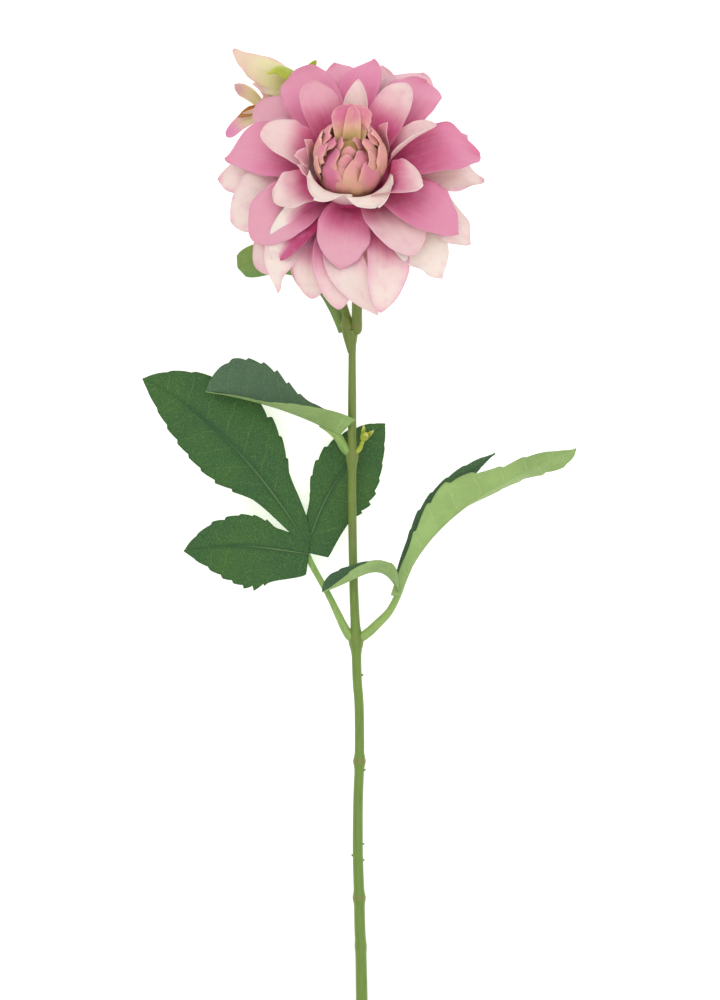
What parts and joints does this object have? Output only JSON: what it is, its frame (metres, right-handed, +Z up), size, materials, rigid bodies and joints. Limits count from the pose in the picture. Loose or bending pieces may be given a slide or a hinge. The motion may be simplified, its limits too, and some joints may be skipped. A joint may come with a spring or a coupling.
{
  "type": "dahlia flower",
  "caption": "Cut dahlia stem with one large layered bloom, a half-open side bloom, three toothed compound leaves and a small bract leaf, lying down with the bloom facing up.",
  "frame": {"origin": "bottom centre of the bounding box, on the table the flower lies on", "axes": "+Y from the cut end of the stem to the blooms, +Z up from the table, +X to the right seen from above with the blooms at the top"},
  "size_m": [0.192, 0.4449, 0.0733],
  "materials": {
    "petal": "soft matte cloth, pink with cream outer faces",
    "centre": "soft matte cloth, peach to magenta",
    "cream_petal": "soft matte cloth, cream with pink tips",
    "leaf": "matte cloth, dark green with a pale weave",
    "pale_leaf": "matte cloth, pale green underside",
    "sepal": "satin moulded plastic, yellow-green",
    "stem": "satin moulded plastic, olive green"
  },
  "bodies": {
    "root": {"stem": "stem", "main_bloom_petals": "petal", "main_bloom_centre": "centre", "main_bloom_calyx": "sepal", "side_bloom_petals": "cream_petal", "side_bloom_calyx": "sepal", "leaf_left": "leaf", "leaf_upper": "leaf", "leaf_right": "pale_leaf", "bract_leaf": "pale_leaf", "axil_bud": "sepal"}
  },
  "joints": []
}
